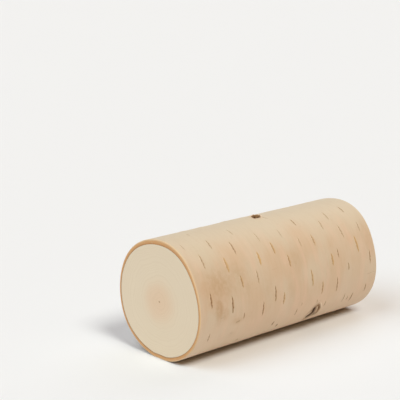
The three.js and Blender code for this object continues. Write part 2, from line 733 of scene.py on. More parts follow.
@dataclass(frozen=True)
class PoreScatter:
    """Spreads pores over the bark that the listed ones leave bare."""

    seed: int = 7
    wanted: int = 58
    tries: int = 4000
    first: float = 146.0  # degrees round the bark where the bare side begins
    last: float = 347.0
    seam_keep: float = 12.0  # degrees kept clear on each side of the very bottom
    end_keep: float = 6.0  # millimetres kept clear at each end
    apart_along: float = 12.0
    apart_round: float = 17.0
    knot_room: float = 1.45  # how much farther they keep from a knot

    def grow(self, trunk: Trunk, marks: list[Mark]) -> list[Lenticel]:
        """Makes the pores.

        Args:
            trunk: The trunk they are on.
            marks: The marks already there, which they keep away from.

        Returns:
            The new pores.
        """
        chance = random.Random(self.seed)
        grown: list[Lenticel] = []
        for _ in range(self.tries):
            if len(grown) == self.wanted:
                break
            pore = self.one(trunk, chance)
            if self.fits(trunk, pore, marks + grown):
                grown.append(pore)
        return grown

    def one(self, trunk: Trunk, chance: random.Random) -> Lenticel:
        """Makes one pore anywhere on the bare side.

        Args:
            trunk: The trunk it is on.
            chance: Where its random sizes come from.

        Returns:
            The pore.
        """
        middle = chance.uniform(self.first, self.last)
        degrees = math.degrees(chance.triangular(6, 15, 10) / trunk.mean_radius)
        reach = trunk.half - self.end_keep
        return Lenticel(
            along=round(chance.uniform(-reach, reach), 1),
            top=middle - degrees / 2,
            bottom=middle + degrees / 2,
            strength=chance.uniform(0.4, 0.9),
            amber=max(0.0, chance.uniform(-1.0, 0.9)),
            width=chance.uniform(0.9, 1.35),
            lean=chance.uniform(-1.2, 1.2),
        )

    def fits(self, trunk: Trunk, pore: Lenticel, marks: list[Mark]) -> bool:
        """Whether a pore keeps clear of the very bottom and of the other marks.

        Args:
            trunk: The trunk it is on.
            pore: The pore.
            marks: The marks already there.

        Returns:
            True if it does.
        """
        if abs(pore.around - 180) < self.seam_keep + (pore.bottom - pore.top) / 2:
            return False
        for mark in marks:
            aside = abs(pore.along - mark.along) / self.apart_along
            degrees = (pore.around - mark.around + 180) % 360 - 180
            way = trunk.mean_radius * math.radians(abs(degrees)) / self.apart_round
            least = self.knot_room if isinstance(mark, Knot) else 1.0
            if math.hypot(aside, way) < least:
                return False
        return True


# ---------------------------------------------------------------------------------------------
# The skin
# ---------------------------------------------------------------------------------------------


@dataclass
class Skin:
    """Collects the closed skin's vertices, faces, map and tints while it is made."""

    points: list[Array] = field(default_factory=list)
    faces: list[tuple[int, ...]] = field(default_factory=list)
    corners: list[tuple[float, float]] = field(default_factory=list)
    slots: list[int] = field(default_factory=list)
    values: dict[str, list[Array]] = field(default_factory=dict)
    count: int = 0

    def add_points(self, points: Array, values: dict[str, Array]) -> Array:
        """Adds vertices.

        Args:
            points: Their places in millimetres.
            values: What each mesh attribute is there. One that isn't given is 0.

        Returns:
            The new vertices' numbers.
        """
        numbers = np.arange(self.count, self.count + len(points))
        for name in set(self.values) | set(values):
            filled = self.values.setdefault(name, [np.zeros(self.count)])
            filled.append(values.get(name, np.zeros(len(points))))
        self.points.append(points)
        self.count += len(points)
        return numbers

    def add_face(self, numbers: tuple[int, ...], corners: list[tuple[float, float]], slot: int) -> None:
        """Adds one face.

        Args:
            numbers: Its vertices.
            corners: Their places on the map.
            slot: Its material slot.
        """
        self.faces.append(numbers)
        self.corners.extend(corners)
        self.slots.append(slot)

    def mesh(self, name: str) -> bpy.types.Mesh:
        """Makes the mesh.

        Args:
            name: What to call it.

        Returns:
            The mesh, smooth shaded, with its map and its attributes.
        """
        mesh = bpy.data.meshes.new(name)
        points = np.concatenate(self.points) * METRES
        mesh.from_pydata(points.tolist(), [], self.faces)
        mesh.polygons.foreach_set("material_index", self.slots)
        mesh.polygons.foreach_set("use_smooth", [True] * len(self.faces))
        sheet_map = mesh.uv_layers.new(name="OFBake")
        sheet_map.data.foreach_set("uv", np.array(self.corners).ravel())
        for attribute, filled in self.values.items():
            layer = mesh.attributes.new(attribute, "FLOAT", "POINT")
            layer.data.foreach_set("value", np.concatenate(filled))
        mesh.validate()
        mesh.update()
        return mesh


@dataclass(frozen=True)
class FlatMap:
    """The square map that the skin unrolls onto: the bark above, the two sawn ends below it."""

    trunk: Trunk
    margin: float = 3.0
    spare: float = 1.5  # room round each sawn end

    @property
    def side(self) -> float:
        """The square's side, which holds both the bark's girth and its length with the ends below it.

        Returns:
            The side in millimetres.
        """
        across = 2 * self.trunk.half_girth + 2 * self.margin
        down = self.trunk.length + 2 * (self.trunk.mean_radius + self.spare) + 3 * self.margin
        return max(across, down)

    def bark(self, arc: Array, along: Array) -> Array:
        """Where places on the bark go.

        Args:
            arc: Millimetres round the bark from the top.
            along: Millimetres from the middle.

        Returns:
            Their places on the map.
        """
        across = arc + self.trunk.half_girth + self.margin
        down = along + self.side - self.trunk.half - self.margin
        return np.stack([across, down], axis=1) / self.side

    def end(self, which: int, points: Array) -> Array:
        """Where points on a sawn end go.

        Args:
            which: 0 for the -X end, 1 for the +X end.
            points: The points in millimetres.

        Returns:
            Their places on the map.
        """
        reach = self.trunk.mean_radius + self.spare
        centre = self.margin + reach + which * (2 * reach + self.margin)
        facing = 1 if which else -1
        across = centre + facing * points[:, 1]
        down = self.margin + reach + points[:, 2] - self.trunk.mean_radius
        return np.stack([across, down], axis=1) / self.side


@dataclass(frozen=True)
class Bark:
    """The bark sheet: where its vertices lie, and its relief."""

    trunk: Trunk
    marks: tuple[Mark, ...]
    patches: tuple[Patch, ...] = PATCHES
    spacing: float = 1.7  # between plain vertices, in millimetres
    spokes: int = 232  # vertices round each sawn edge
    seam_rows: int = 130  # vertices along the seam under the log
    row_height: float = 0.87  # of the spacing, which makes the triangles even
    jitter: float = 0.16  # of the spacing
    crowding: float = 0.14  # how near two seeded vertices may be, in millimetres
    seed: int = 11

    # The plain bark's unevenness, wide and narrow: its size along, across and up, and its height.
    UNEVEN = ((34.0, 26.0, 26.0), 0.3), ((6.0, 9.0, 9.0), 0.05)

    @property
    def reach(self) -> float:
        """How far the sheet goes along the log from the middle, to where its edge rounds over."""
        return self.trunk.half - self.trunk.edge_round

    def border(self) -> Array:
        """The vertices on the sheet's four sides.

        Returns:
            Their places round and along the bark.
        """
        arcs = np.linspace(-self.trunk.half_girth, self.trunk.half_girth, self.spokes + 1)
        rows = np.linspace(-self.reach, self.reach, self.seam_rows + 1)[1:-1]
        sides = [np.stack([arcs, np.full_like(arcs, end)], axis=1) for end in (-self.reach, self.reach)]
        for arc in (-self.trunk.half_girth, self.trunk.half_girth):
            sides.append(np.stack([np.full_like(rows, arc), rows], axis=1))
        return np.concatenate(sides)

    def plain(self) -> Array:
        """Evenly spread vertices, in staggered rows with a little scatter, clear of the marks.

        Returns:
            Their places round and along the bark.
        """
        scatter = np.random.default_rng(self.seed)
        keep = self.spacing * 0.55
        width = self.trunk.half_girth - keep
        height = self.reach - keep
        rows = np.arange(-height, height, self.spacing * self.row_height)
        columns = np.arange(-width, width, self.spacing)
        arc, along = np.meshgrid(columns, rows)
        arc = arc + (np.arange(len(rows)) % 2)[:, None] * self.spacing / 2
        lattice = np.stack([arc.ravel(), along.ravel()], axis=1)
        lattice += scatter.uniform(-self.jitter, self.jitter, lattice.shape) * self.spacing
        inside = (np.abs(lattice[:, 0]) < width) & (np.abs(lattice[:, 1]) < height)
        lattice = lattice[inside]
        bare = Sheet(self.trunk, lattice[:, 0], lattice[:, 1])
        for mark in self.marks:
            taken = mark.covers(self.trunk, *bare.offsets(mark.along, mark.around))
            bare = Sheet(self.trunk, bare.arc[~taken], bare.along[~taken])
        return np.stack([bare.arc, bare.along], axis=1)

    def seeded(self) -> Array:
        """The vertices that the marks ask for, thinned where two marks' vertices crowd.

        Returns:
            Their places round and along the bark.
        """
        girth = 2 * self.trunk.half_girth
        found = []
        for mark in self.marks:
            middle = self.trunk.mean_radius * math.radians(mark.around)
            seeds = mark.seeds(self.trunk) + np.array([middle, mark.along])
            seeds[:, 0] = (seeds[:, 0] + girth / 2) % girth - girth / 2
            found.append(seeds)
        points = np.concatenate(found)
        inside = np.abs(points[:, 0]) < self.trunk.half_girth - 0.5
        inside &= np.abs(points[:, 1]) < self.reach - 0.4
        points = points[inside]
        _, first = np.unique(np.round(points / self.crowding), axis=0, return_index=True)
        return points[np.sort(first)]

    def ground(self, sheet: Sheet) -> None:
        """Gives the plain bark its slow unevenness.

        Args:
            sheet: The bark.
        """
        around = sheet.arc / self.trunk.mean_radius
        radius = self.trunk.mean_radius
        places = np.stack([sheet.along, radius * np.sin(around), radius * np.cos(around)], axis=1)
        (wide, wide_height), (narrow, narrow_height) = self.UNEVEN
        relief = [
            wide_height * noise.noise(Vector(slow)) + narrow_height * noise.noise(Vector(brisk))
            for slow, brisk in zip(places / np.array(wide), places / np.array(narrow))
        ]
        sheet.relief += np.array(relief)

    def grow(self, skin: Skin, flat_map: FlatMap) -> tuple[Array, Array]:
        """Adds the bark to the skin.

        Args:
            skin: The skin to add to.
            flat_map: The map that it unrolls onto.

        Returns:
            The vertices along the -X edge and along the +X edge, in order round the trunk.
        """
        wanted = np.concatenate([self.border(), self.plain(), self.seeded()])
        flat = [Vector(point) for point in wanted]
        made = geometry.delaunay_2d_cdt(flat, [], [], 0, 1e-6, False)
        places = np.array([tuple(point) for point in made[0]])
        sheet = Sheet(self.trunk, places[:, 0], places[:, 1])
        self.ground(sheet)
        for mark in self.marks:
            mark.press(sheet)
        for patch in self.patches:
            patch.press(sheet)
        sheet.relief *= smooth(self.reach + 0.1, self.reach - 1.6, np.abs(sheet.along)) * 0.8 + 0.2

        around = sheet.arc / self.trunk.mean_radius
        radius = self.trunk.radius(sheet.along, around) + sheet.relief
        points = self.trunk.places(sheet.along, around, radius)
        values = {tint.value: amount for tint, amount in sheet.tints.items()}
        numbers = skin.add_points(points, values)
        joined = self.join_seam(numbers, sheet)
        mapped = flat_map.bark(sheet.arc, sheet.along)
        for triangle in made[2]:
            corners = [tuple(mapped[corner]) for corner in triangle]
            skin.add_face(tuple(int(joined[corner]) for corner in triangle), corners, Slot.BARK.value)
        REPORT.info("bark: %d vertices, %d triangles", len(points), len(made[2]))
        return tuple(self.edge(joined, sheet, end) for end in (-self.reach, self.reach))

    def join_seam(self, numbers: Array, sheet: Sheet) -> Array:
        """Makes the sheet's two long sides share their vertices.

        Args:
            numbers: The sheet's vertices.
            sheet: Where they lie.

        Returns:
            The vertices, with those of one side in place of the other's.
        """
        joined = numbers.copy()
        first = np.flatnonzero(sheet.arc < -self.trunk.half_girth + NEAR)
        last = np.flatnonzero(sheet.arc > self.trunk.half_girth - NEAR)
        first = first[np.argsort(sheet.along[first])]
        last = last[np.argsort(sheet.along[last])]
        joined[last] = numbers[first]
        return joined

    def edge(self, joined: Array, sheet: Sheet, end: float) -> Array:
        """The vertices along one sawn edge.

        Args:
            joined: The sheet's vertices.
            sheet: Where they lie.
            end: Where the edge is along the log.

        Returns:
            The edge's vertices, from the bottom all the way round.
        """
        found = np.flatnonzero(np.abs(sheet.along - end) < NEAR)
        found = found[np.argsort(sheet.arc[found])]
        return joined[found][:-1]


@dataclass(frozen=True)
class SawnEnd:
    """A sawn end: the bark's worn edge, its cut ring, and the wood inside it."""

    trunk: Trunk
    facing: int  # -1 for the -X end, 1 for the +X end
    mean_thickness: float = 3.1  # of the bark, in millimetres
    edge_steps: int = 4
    ring_steps: int = 6
    groove: float = 0.22  # how far the dark line between bark and wood is set back
    bark_lip: float = 0.12  # how far the cut bark is
    wood_edge: float = 0.05  # how far the wood's own edge is

    # How far the wood's rings of vertices lie in from the bark, in millimetres.
    WOOD_RINGS = (0.35, 0.8, 1.6, 3.0, 5.5, 8.5, 12.0, 16.0, 20.0, 24.5, 29.0, 33.5, 38.0)
    HEART = 45.0  # the depth in the wood that is given to the pith

    def thickness(self, around: Array) -> Array:
        """How thick the bark is, which varies round the trunk."""
        uneven = 0.3 * np.cos(around - 0.2) + 0.75 * np.cos(2 * around) + 0.08 * np.cos(7 * around)
        return self.mean_thickness + uneven

    def rings(self, around: Array, outer: Array) -> list[tuple[Array, Array, Array]]:
        """The end's rings of vertices, from the bark's edge inwards.

        Args:
            around: Each spoke's angle in radians.
            outer: Each spoke's radius at the outside of the bark.

        Returns:
            For each ring its radii, how far it is set back from the sawn plane, and how deep in
            the bark it lies: 0 outside, 1 at the wood, and over 1 in the wood, by millimetres.
        """
        worn = self.trunk.edge_round
        thick = self.thickness(around)
        found = []
        for step in range(1, self.edge_steps + 1):
            angle = math.pi / 2 * step / self.edge_steps
            inward = worn * (1 - math.cos(angle))
            set_back = worn * (1 - math.sin(angle)) + self.bark_lip * math.sin(angle)
            found.append((outer - inward, np.full_like(outer, set_back), inward / thick))
        for step in range(1, self.ring_steps + 1):
            inward = worn + (thick - worn) * step / self.ring_steps
            last = step == self.ring_steps
            set_back = self.groove if last else self.bark_lip + 0.05 * math.sin(2.2 * step)
            found.append((outer - inward, np.full_like(outer, set_back), inward / thick))
        for step, inward in enumerate(self.WOOD_RINGS):
            set_back = 0.0 if step else self.wood_edge
            found.append((outer - thick - inward, np.full_like(outer, set_back), 1 + inward + 0 * thick))
        return found

    def pith_rings(self, around: Array) -> list[tuple[float, Array]]:
        """Small rings round the pith, with two fine drying cracks that run out from it.

        Args:
            around: Each spoke's angle in radians.

        Returns:
            For each ring its radius and how far it is set back.
        """
        check = np.maximum(
            bell(angle_between(around, 1.95), 0.16), 0.8 * bell(angle_between(around, -1.2), 0.14)
        )
        profile = (
            (3.6, 0.0, 0.0),
            (2.6, 0.0, 0.10),
            (1.8, 0.0, 0.22),
            (1.1, 0.0, 0.30),
            (0.6, 0.12, 0.1),
            (0.3, 0.45, 0.0),
        )
        return [(radius, pit + crack * check) for radius, pit, crack in profile]

    def close(self, skin: Skin, flat_map: FlatMap, edge: Array, around: Array, outer: Array) -> None:
        """Closes the skin over this end.

        Args:
            skin: The skin to close.
            flat_map: The map that it unrolls onto.
            edge: The bark's vertices along this edge.
            around: Their angles in radians.
            outer: Their radii.
        """
        plane = self.facing * self.trunk.half
        start = self.facing * (self.trunk.half - self.trunk.edge_round)
        before = edge
        before_points = self.trunk.places(np.full_like(around, start), around, outer)
        for radii, set_back, depth in self.rings(around, outer):
            along = plane - self.facing * set_back
            points = self.trunk.places(along, around, radii)
            values = {"bark_depth": np.minimum(depth, 1), "wood_depth": np.maximum(depth - 1, 0)}
            now = skin.add_points(points, values)
            slot = Slot.CUT_BARK if depth[0] <= 1 else Slot.WOOD
            self.band(skin, flat_map, (before, before_points), (now, points), slot)
            before, before_points = now, points
        for radius, set_back in self.pith_rings(around):
            points = np.stack(
                [
                    plane - self.facing * set_back,
                    PITH_SIDE - radius * np.sin(around),
                    PITH_HEIGHT + radius * np.cos(around),
                ],
                axis=1,
            )
            heart = {"bark_depth": np.ones_like(around), "wood_depth": np.full_like(around, self.HEART)}
            now = skin.add_points(points, heart)
            self.band(skin, flat_map, (before, before_points), (now, points), Slot.WOOD)
            before, before_points = now, points
        middle = np.array([[plane - self.facing * 0.5, PITH_SIDE, PITH_HEIGHT]])
        heart = {"bark_depth": np.ones(1), "wood_depth": np.full(1, self.HEART)}
        number = skin.add_points(middle, heart)[0]
        middle_map = tuple(flat_map.end(int(self.facing > 0), middle)[0])
        mapped = flat_map.end(int(self.facing > 0), before_points)
        for step in range(len(before)):
            following = (step + 1) % len(before)
            numbers = [int(before[step]), int(before[following]), int(number)]
            corners = [tuple(mapped[step]), tuple(mapped[following]), middle_map]
            self.face(skin, numbers, corners, Slot.WOOD)

    def band(
        self,
        skin: Skin,
        flat_map: FlatMap,
        outside: tuple[Array, Array],
        inside: tuple[Array, Array],
        slot: "Slot",
    ) -> None:
        """Adds the band of faces between two rings of vertices.

        Args:
            skin: The skin to add to.
            flat_map: The map that it unrolls onto.
            outside: The outer ring's vertex numbers and points.
            inside: The inner ring's.
            slot: The faces' material slot.
        """
        which = int(self.facing > 0)
        outer_map = flat_map.end(which, outside[1])
        inner_map = flat_map.end(which, inside[1])
        for step in range(len(outside[0])):
            following = (step + 1) % len(outside[0])
            numbers = [outside[0][step], outside[0][following], inside[0][following], inside[0][step]]
            corners = [outer_map[step], outer_map[following], inner_map[following], inner_map[step]]
            self.face(skin, [int(number) for number in numbers], [tuple(c) for c in corners], slot)

    def face(self, skin: Skin, numbers: list[int], corners: list[tuple], slot: "Slot") -> None:
        """Adds one face, turned to face out of this end.

        Args:
            skin: The skin to add to.
            numbers: The face's vertices.
            corners: Their places on the map.
            slot: The face's material slot.
        """
        if self.facing < 0:
            numbers.reverse()
            corners.reverse()
        skin.add_face(tuple(numbers), corners, slot.value)


class Slot(Enum):
    """The log's material slots, in order."""

    BARK = 0
    CUT_BARK = 1
    WOOD = 2


# ---------------------------------------------------------------------------------------------
# Finishes
# ---------------------------------------------------------------------------------------------

MIX = "ShaderNodeMix"
EASE = "ShaderNodeMapRange"
SUMS = "ShaderNodeMath"
BUMP = "ShaderNodeBump"
SMOOTHLY = {"interpolation_type": "SMOOTHSTEP"}
THINNED = {"From_Min": 0.36, "From_Max": 0.6, "To_Min": 0.6}  # how a pattern thins a wash


def add_node(
    tree: bpy.types.NodeTree,
    kind: str,
    settings: dict[str, Any] | None = None,
    give: str = "",
    **inputs: Any,
) -> bpy.types.NodeSocket | None:
    """Adds a node with its settings, its values and its links.

    Args:
        tree: The node tree to add to.
        kind: The node's type.
        settings: The node's own properties.
        give: The name of the output that is wanted, if it isn't the first one in use.
        **inputs: A value or a link for each input, by its name or identifier, with _ for a space.

    Returns:
        The output, if it has one.
    """
    node = tree.nodes.new(kind)
    for name, value in (settings or {}).items():
        setattr(node, name, value)
    live = [socket for socket in node.inputs if socket.enabled]
    for key, value in inputs.items():
        exact = [socket for socket in live if socket.identifier == key]
        alike = [socket for socket in live if socket.name == key.replace("_", " ")]
        socket = (exact + alike)[0]
        if isinstance(value, bpy.types.NodeSocket):
            tree.links.new(value, socket)
        else:
            socket.default_value = value
    return next(
        (socket for socket in node.outputs if socket.enabled and give in ("", socket.name)), None
    )


def solid_pattern(
    tree: bpy.types.NodeTree, along_mm: float, round_mm: float, detail: float = 2.0, rough: float = 0.5
) -> bpy.types.NodeSocket:
    """Makes an uneven pattern that runs through the log.

    Args:
        tree: The node tree to add to.
        along_mm: A feature's size along the log.
        round_mm: Its size round and through the log.
        detail: How many finer layers it has.
        rough: How strong the finer layers are.

    Returns:
        The pattern, from 0 to 1 and mostly near the middle.
    """
    place = add_node(tree, "ShaderNodeTexCoord", give="Object")
    sizes = (per_metre(along_mm), per_metre(round_mm), per_metre(round_mm))
    scaled = add_node(tree, "ShaderNodeMapping", Vector=place, Scale=sizes)
    return add_node(
        tree, "ShaderNodeTexNoise", give="Fac", Vector=scaled, Scale=1.0, Detail=detail, Roughness=rough
    )


class Blend(Enum):
    """How a wash lies on the colour below it. The value is the Mix node's."""

    OVER = "MIX"
    DARKEN = "MULTIPLY"


@dataclass(frozen=True)
class Wash:
    """A layer of colour that shows where a pattern passes from `start` to `full`.

    `through` names a second pattern that breaks the wash up.
    """

    pattern: str
    colour: str
    start: float
    full: float
    strength: float
    through: str = ""
    blend: Blend = Blend.OVER


Patterns = dict[str, bpy.types.NodeSocket]


def lay_washes(
    tree: bpy.types.NodeTree, ground: str, washes: tuple[Wash, ...], patterns: Patterns
) -> bpy.types.NodeSocket:
    """Lays washes over a ground colour, one on another.

    Args:
        tree: The node tree to add to.
        ground: The ground colour.
        washes: The washes, from the lowest.
        patterns: The patterns that the washes name.

    Returns:
        The finished colour.
    """
    colour: Any = linear(ground)
    for wash in washes:
        amount = add_node(
            tree,
            EASE,
            SMOOTHLY,
            Value=patterns[wash.pattern],
            From_Min=wash.start,
            From_Max=wash.full,
            To_Max=wash.strength,
        )
        if wash.through:
            gaps = add_node(tree, EASE, SMOOTHLY, Value=patterns[wash.through], **THINNED)
            amount = add_node(tree, SUMS, {"operation": "MULTIPLY"}, Value=amount, Value_001=gaps)
        settings = {"data_type": "RGBA", "blend_type": wash.blend.value}
        colour = add_node(tree, MIX, settings, Factor=amount, A=colour, B=linear(wash.colour))
    return colour


@dataclass(frozen=True)
class Relief:
    """Fine relief from a pattern: how deep it is in millimetres, and how much of that shows."""

    pattern: str
    depth_mm: float
    strength: float


def lay_relief(
    tree: bpy.types.NodeTree, reliefs: tuple[Relief, ...], patterns: Patterns
) -> bpy.types.NodeSocket:
    """Turns patterns into one bumpy surface.

    Args:
        tree: The node tree to add to.
        reliefs: The reliefs, from the finest.
        patterns: The patterns that they name.

    Returns:
        The surface's direction.
    """
    normal: dict[str, Any] = {}
    for relief in reliefs:
        facing = add_node(
            tree,
            BUMP,
            Strength=relief.strength,
            Distance=relief.depth_mm * METRES,
            Height=patterns[relief.pattern],
            **normal,
        )
        normal = {"Normal": facing}
    return normal["Normal"]


@dataclass(frozen=True)
class Gloss:
    """How a surface shines. `sheen` is the soft white bloom of a dusty or fibrous surface."""

    roughness: float
    ior: float
    specular: float = 0.5
    sheen: float = 0.0

    def material(self, name: str) -> tuple[bpy.types.Material, bpy.types.NodeTree, bpy.types.Node]:
        """Starts a material that shines so.

        Args:
            name: What to call it.

        Returns:
            The material, its node tree and its surface shader.
        """
        material = bpy.data.materials.new(name)
        material.use_nodes = True
        tree = material.node_tree
        tree.nodes.clear()
        surface = add_node(
            tree,
            "ShaderNodeBsdfPrincipled",
            Roughness=self.roughness,
            IOR=self.ior,
            Specular_IOR_Level=self.specular,
            Sheen_Weight=self.sheen,
        )
        add_node(tree, "ShaderNodeOutputMaterial", Surface=surface)
        return material, tree, surface.node


@dataclass(frozen=True)
class RubbedBirchBark:
    """Young birch bark whose white outer paper has been rubbed off to the smooth beige below it.

    It is satin and nearly smooth, with hardly any bloom. Soft clouds of cream and rose run round the
    trunk, the pores are corky brown with a golden edge on one side and a painted highlight on the lips,
    and the knots are dark. The top is painted paler as a painted highlight, and the underside paler and
    warmer as painted light from the floor. The clouds and bands are a few centimetres wide, the streaks 2
    mm.
    """

    ground: str = "#ccbaa0"
    washes: tuple[Wash, ...] = (
        Wash("clouds", "#c9ac8c", 0.36, 0.64, 0.65),
        Wash("bands", "#dab99f", 0.46, 0.7, 0.35),
        # Painted highlight: the top painted paler and creamier.
        Wash(Tint.BLEACH.value, "#c8b99e", 0.0, 1.0, 0.9),
        # Warmer patches of the bark's own colour, and the underside's painted light from the floor.
        Wash(Tint.BLUSH.value, "#d1a17a", 0.0, 1.0, 0.45),
        Wash(Tint.WEATHER.value, "#ad875a", 0.0, 1.0, 0.62, through="mottle"),
        Wash("streaks", "#e2cdb4", 0.4, 0.7, 0.08, blend=Blend.DARKEN),
        Wash("mottle", "#b08c66", 0.58, 0.78, 0.12),
        Wash("fibres", "#ecd9bf", 0.52, 0.74, 0.05),
        # Painted highlight: paler lips, ridges and underside.
        Wash(Tint.PALE.value, "#f0dcc0", 0.0, 1.0, 0.7),
        Wash(Tint.AMBER.value, "#c69c58", 0.0, 1.0, 0.85),
        Wash(Tint.CORK.value, "#7d5629", 0.0, 1.0, 0.9),
        Wash(Tint.HOLLOW.value, "#472b0d", 0.0, 1.0, 1.0),
    )
    reliefs: tuple[Relief, ...] = (
        Relief("fibres", 0.012, 0.3),
        Relief("streaks", 0.03, 0.3),
        Relief("mottle", 0.12, 0.3),
    )
    gloss: Gloss = Gloss(0.5, 1.46, specular=0.4, sheen=0.03)
    corky_roughness: float = 0.85

    def material(self) -> bpy.types.Material:
        """Makes the bark's material, which is dull where it is corky.

        Returns:
            The material.
        """
        material, tree, shader = self.gloss.material("birch bark, rubbed smooth")
        patterns = {
            "clouds": solid_pattern(tree, 30, 36),
            "bands": solid_pattern(tree, 9, 40),
            "streaks": solid_pattern(tree, 2.2, 16),
            "fibres": solid_pattern(tree, 0.6, 7),
            "mottle": solid_pattern(tree, 3.4, 4.2, 3.0, 0.6),
        }
        for tint in Tint:
            patterns[tint.value] = add_node(
                tree, "ShaderNodeAttribute", {"attribute_name": tint.value}, give="Fac"
            )
        colour = lay_washes(tree, self.ground, self.washes, patterns)
        tree.links.new(colour, shader.inputs["Base Color"])
        tree.links.new(lay_relief(tree, self.reliefs, patterns), shader.inputs["Normal"])
        dull = add_node(
            tree,
            EASE,
            SMOOTHLY,
            Value=patterns[Tint.CORK.value],
            From_Max=1.0,
            To_Min=self.gloss.roughness,
            To_Max=self.corky_roughness,
        )
        tree.links.new(dull, shader.inputs["Roughness"])
        return material


@dataclass(frozen=True)
class SawnBirchBark:
    """Bark cut through by the saw: an orange-tan inner bark between a pale skin and a dark line.

    It is a warm, matt ring round the wood. The dark line is the cambium, where the bark has dried and
    pulled a little off the wood. `depth` is 0 at the bark's outside and 1 at the wood.
    """

    ground: str = "#d9bb92"
    washes: tuple[Wash, ...] = (
        Wash("depth", "#d5a26c", 0.16, 0.36, 1.0),
        Wash("depth", "#c48f58", 0.52, 0.84, 1.0),
        Wash("depth", "#97693b", 0.86, 0.97, 1.0),
        Wash("fleck", "#dcbf98", 0.5, 0.72, 0.35),
    )
    reliefs: tuple[Relief, ...] = (Relief("fleck", 0.3, 0.5),)
    gloss: Gloss = Gloss(0.62, 1.46)

    def material(self) -> bpy.types.Material:
        """Makes the cut bark's material.

        Returns:
            The material.
        """
        material, tree, shader = self.gloss.material("birch bark, sawn across")
        depth = add_node(tree, "ShaderNodeAttribute", {"attribute_name": "bark_depth"}, give="Fac")
        fleck = solid_pattern(tree, 1.1, 1.6, 3.0, 0.6)
        ragged = add_node(
            tree, EASE, SMOOTHLY, Value=fleck, From_Min=0.2, From_Max=0.8, To_Min=-0.08, To_Max=0.08
        )
        ragged_depth = add_node(tree, SUMS, {"operation": "ADD"}, Value=depth, Value_001=ragged)
        patterns = {"depth": ragged_depth, "fleck": fleck}
        colour = lay_washes(tree, self.ground, self.washes, patterns)
        tree.links.new(colour, shader.inputs["Base Color"])
        tree.links.new(lay_relief(tree, self.reliefs, patterns), shader.inputs["Normal"])
        return material


